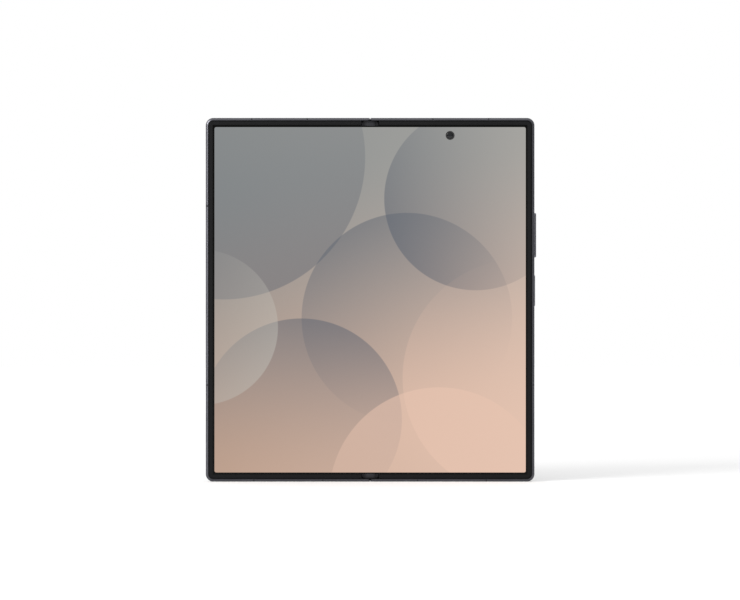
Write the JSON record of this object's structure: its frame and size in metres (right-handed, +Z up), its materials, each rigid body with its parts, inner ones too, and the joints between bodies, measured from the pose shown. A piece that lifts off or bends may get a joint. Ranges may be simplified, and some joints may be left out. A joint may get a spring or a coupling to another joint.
{
  "type": "foldable smartphone",
  "caption": "Open book-style folding phone with a large inner screen across two thin halves on a geared hinge, a cover screen, rear cameras, side keys, charging port and card tray.",
  "frame": {"origin": "middle of the bottom edge, on the fold line and half way through the thickness of the halves, where the open phone stands upright", "axes": "+Z up the phone's height, +X to the right as one looks at the inner screen, -Y out of the inner screen"},
  "size_m": [0.144, 0.0062, 0.1584],
  "materials": {
    "frame_metal": "satin graphite anodised",
    "break_plastic": "matte",
    "back_glass": "frosted dark glass over a painted film",
    "cover_glass": "polished black glass",
    "cover_panel": "dark panel",
    "display": "folding display with a thin glossy cover layer",
    "bezel": "matte soft-touch",
    "spine_metal": "satin graphite anodised",
    "hinge_steel": "brushed",
    "gear_brass": "plain",
    "cap_plastic": "glossy black",
    "key_metal": "satin graphite anodised",
    "switch_plastic": "flex and switches",
    "port_steel": "plain",
    "port_plastic": "matte",
    "camera_plastic": "matte black",
    "lens": "coated lens glass",
    "ring_metal": "polished edge",
    "flash": "diffuser",
    "battery": "foil pouch",
    "board": "solder mask",
    "shield": "nickel silver",
    "speaker": "matte",
    "motor": "plain",
    "coil": "copper winding in film"
  },
  "bodies": {
    "right_half": {"frame_right": "frame_metal", "antenna_breaks_right": "break_plastic", "back_glass_right": "back_glass", "display_right": "display", "bezel_right": "bezel", "arms_right": "hinge_steel", "wing_pins_right": "hinge_steel", "arm_screws_right": "hinge_steel", "key_switches": "switch_plastic", "usb_port": "port_steel", "usb_tongue": "port_plastic", "inner_camera": "camera_plastic", "inner_camera_lens": "lens", "camera_island": "ring_metal", "lens_rings": "ring_metal", "lens_glasses": "lens", "camera_modules": "camera_plastic", "flash_window": "flash", "battery_right": "battery", "main_board": "board", "shield_cans": "shield", "lower_board": "board", "loudspeaker": "speaker", "vibration_motor": "motor", "charging_coil": "coil", "board_screws": "hinge_steel"},
    "hinge_spine": {"spine_shell": "spine_metal", "hinge_brackets": "hinge_steel", "hinge_pins": "hinge_steel", "fold_support": "hinge_steel", "end_cap_top": "cap_plastic", "end_cap_bottom": "cap_plastic", "display_fold": "display"},
    "left_half": {"frame_left": "frame_metal", "antenna_breaks_left": "break_plastic", "cover_glass_left": "cover_glass", "cover_panel_left": "cover_panel", "display_left": "display", "bezel_left": "bezel", "arms_left": "hinge_steel", "wing_pins_left": "hinge_steel", "arm_screws_left": "hinge_steel", "card_socket": "port_steel", "cover_camera": "camera_plastic", "battery_left": "battery", "sub_board": "board", "earpiece": "speaker"},
    "idler_right": {"gear_idler_right": "gear_brass"},
    "idler_left": {"gear_idler_left": "gear_brass"},
    "wing_plate_right": {"wing_right": "hinge_steel"},
    "wing_plate_left": {"wing_left": "hinge_steel"},
    "volume_key": {"volume_key": "key_metal"},
    "side_key": {"side_key": "key_metal"},
    "card_tray": {"card_tray": "key_metal"}
  },
  "joints": [
    {"name": "fold_right", "type": "hinge", "parent": "right_half", "child": "hinge_spine", "pos_m": [0.00183, -0.00052, 0], "axis": [0, 0, 1], "range_deg": [0, 90], "deforming": ["display_fold"]},
    {"name": "fold_left", "type": "hinge", "parent": "hinge_spine", "child": "left_half", "pos_m": [-0.00183, -0.00052, 0], "axis": [0, 0, 1], "range_deg": [0, 90], "deforming": ["display_fold"]},
    {"name": "idler_right_spin", "type": "hinge", "parent": "hinge_spine", "child": "idler_right", "pos_m": [0.00061, -0.00052, 0], "axis": [0, 0, 1], "range_deg": [0, 90]},
    {"name": "idler_left_spin", "type": "hinge", "parent": "hinge_spine", "child": "idler_left", "pos_m": [-0.00061, -0.00052, 0], "axis": [0, 0, 1], "range_deg": [-90, 0]},
    {"name": "wing_right_tilt", "type": "hinge", "parent": "right_half", "child": "wing_plate_right", "pos_m": [0.0087, -0.00093, 0], "axis": [0, 0, -1], "range_deg": [0, 10]},
    {"name": "wing_left_tilt", "type": "hinge", "parent": "left_half", "child": "wing_plate_left", "pos_m": [-0.0087, -0.00093, 0], "axis": [0, 0, 1], "range_deg": [0, 10]},
    {"name": "volume_rock", "type": "hinge", "parent": "right_half", "child": "volume_key", "pos_m": [0.06988, 0.00007, 0.10735], "axis": [0, 1, 0], "range_deg": [-1.4, 1.4], "stiffness_Nm_per_rad": 0.4},
    {"name": "side_key_press", "type": "slide", "parent": "right_half", "child": "side_key", "axis": [-1, 0, 0], "range_m": [0, 0.00025], "stiffness_N_per_m": 4000},
    {"name": "card_tray_slide", "type": "slide", "parent": "left_half", "child": "card_tray", "axis": [-1, 0, 0], "range_m": [0, 0.015]}
  ],
  "couplings": [
    {"joint": "fold_left", "follows": "fold_right", "ratio": 1},
    {"joint": "idler_right_spin", "follows": "fold_right", "ratio": 1},
    {"joint": "idler_left_spin", "follows": "fold_right", "ratio": -1},
    {"joint": "wing_right_tilt", "follows": "fold_right", "ratio": 0.111},
    {"joint": "wing_left_tilt", "follows": "fold_right", "ratio": 0.111}
  ]
}
